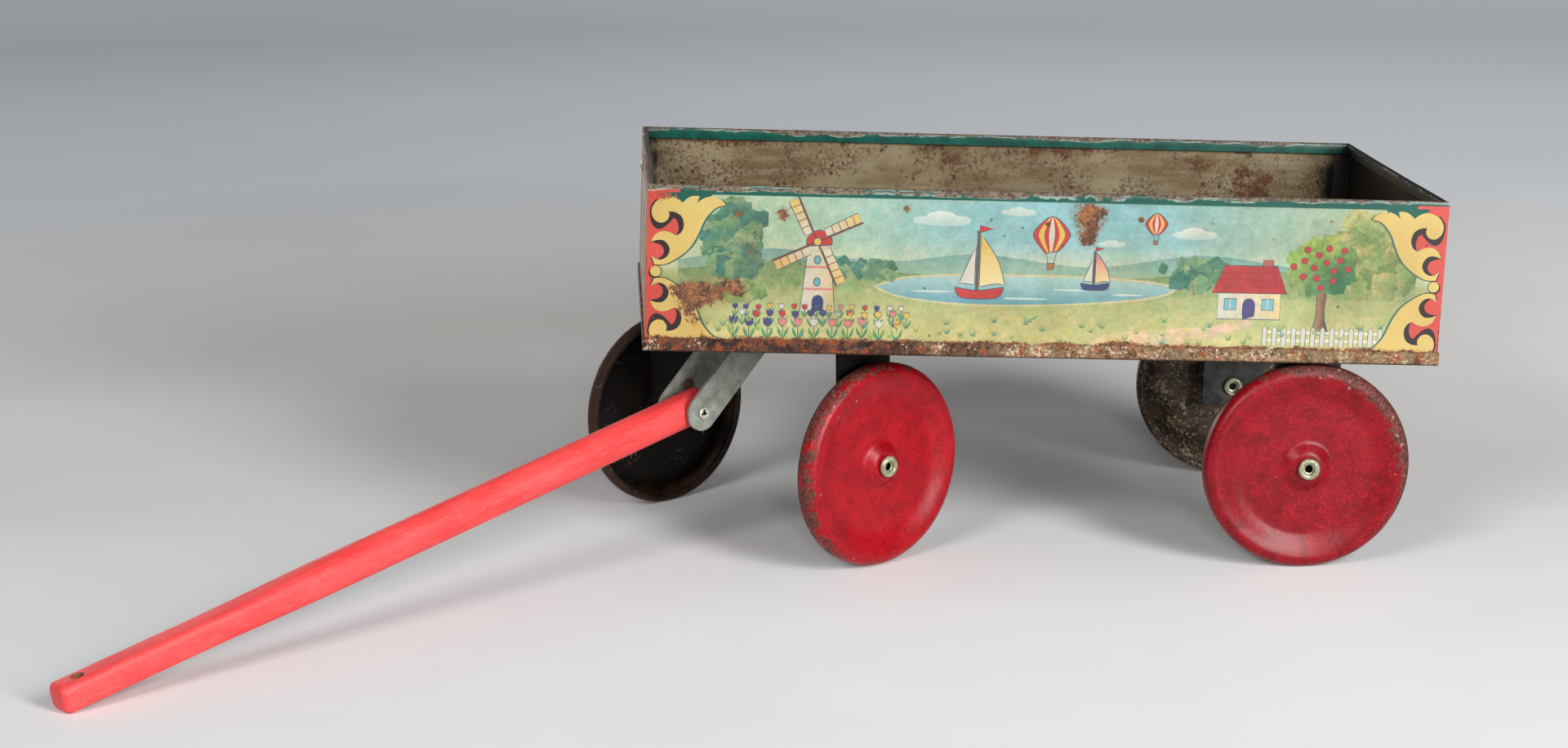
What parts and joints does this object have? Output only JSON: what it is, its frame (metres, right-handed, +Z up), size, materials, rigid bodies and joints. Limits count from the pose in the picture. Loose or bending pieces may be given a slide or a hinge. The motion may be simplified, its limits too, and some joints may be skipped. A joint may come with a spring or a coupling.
{
  "type": "kids pull wagon",
  "caption": "Child's pull wagon: open pressed-tin tray on cup wheels, with a front truck that steers on a king pin and a hinged wooden pull handle.",
  "frame": {"origin": "on the floor, under the middle of the plan outline at rest", "axes": "+Z up; +X towards the rear of the tray, along its length; +Y towards the far side"},
  "size_m": [0.4261, 0.2341, 0.1306],
  "materials": {
    "litho_tin": "printed tinplate, worn and rust-spotted",
    "pan_tin": "bare tinplate, rusted",
    "bolster_steel": "dark pressed steel",
    "rivet_metal": "dull plated rivets",
    "yoke_zinc": "galvanised, mottled",
    "wheel_paint": "crimson enamel, worn at the rim",
    "handle_wood": "painted wood"
  },
  "bodies": {
    "tray": {"near_side_wall": "litho_tin", "far_side_wall": "litho_tin", "front_wall": "litho_tin", "rear_wall": "litho_tin", "floor_pan": "pan_tin", "front_wall_rivet": "pan_tin", "rear_bolster": "bolster_steel", "rear_bolster_rivets": "bolster_steel", "rear_hub_rivets": "rivet_metal", "rear_hub_sleeves": "rivet_metal", "king_pin": "rivet_metal", "swivel_washer": "bolster_steel"},
    "front_truck": {"front_bolster": "bolster_steel", "front_hub_rivets": "rivet_metal", "front_hub_sleeves": "rivet_metal", "drawbar_yoke": "yoke_zinc", "yoke_rivets": "bolster_steel", "yoke_stud": "pan_tin", "handle_pivot_rivet": "rivet_metal"},
    "pull_handle": {"handle": "handle_wood"},
    "rear_near_wheel": {"rear_near_wheel": "wheel_paint"},
    "rear_far_wheel": {"rear_far_wheel": "wheel_paint"},
    "front_near_wheel": {"front_near_wheel": "wheel_paint"},
    "front_far_wheel": {"front_far_wheel": "wheel_paint"}
  },
  "joints": [
    {"name": "steering", "type": "hinge", "parent": "tray", "child": "front_truck", "pos_m": [-0.00095, 0.05123, 0.07318], "axis": [0, 0, 1], "range_deg": [-83.2, 6.8]},
    {"name": "handle_lift", "type": "hinge", "parent": "front_truck", "child": "pull_handle", "pos_m": [-0.02846, 0.02958, 0.0485], "axis": [-0.6184, 0.7859, 0], "range_deg": [0, 45]},
    {"name": "rear_near_spin", "type": "hinge", "parent": "tray", "child": "rear_near_wheel", "pos_m": [0.16955, -0.00877, 0.0335], "axis": [0, 1, 0], "continuous": true},
    {"name": "rear_far_spin", "type": "hinge", "parent": "tray", "child": "rear_far_wheel", "pos_m": [0.16955, 0.11123, 0.0335], "axis": [0, 1, 0], "continuous": true},
    {"name": "front_near_spin", "type": "hinge", "parent": "front_truck", "child": "front_near_wheel", "pos_m": [0.03306, 0.008, 0.0335], "axis": [-0.6184, 0.7859, 0], "continuous": true},
    {"name": "front_far_spin", "type": "hinge", "parent": "front_truck", "child": "front_far_wheel", "pos_m": [-0.03496, 0.09445, 0.0335], "axis": [-0.6184, 0.7859, 0], "continuous": true}
  ]
}
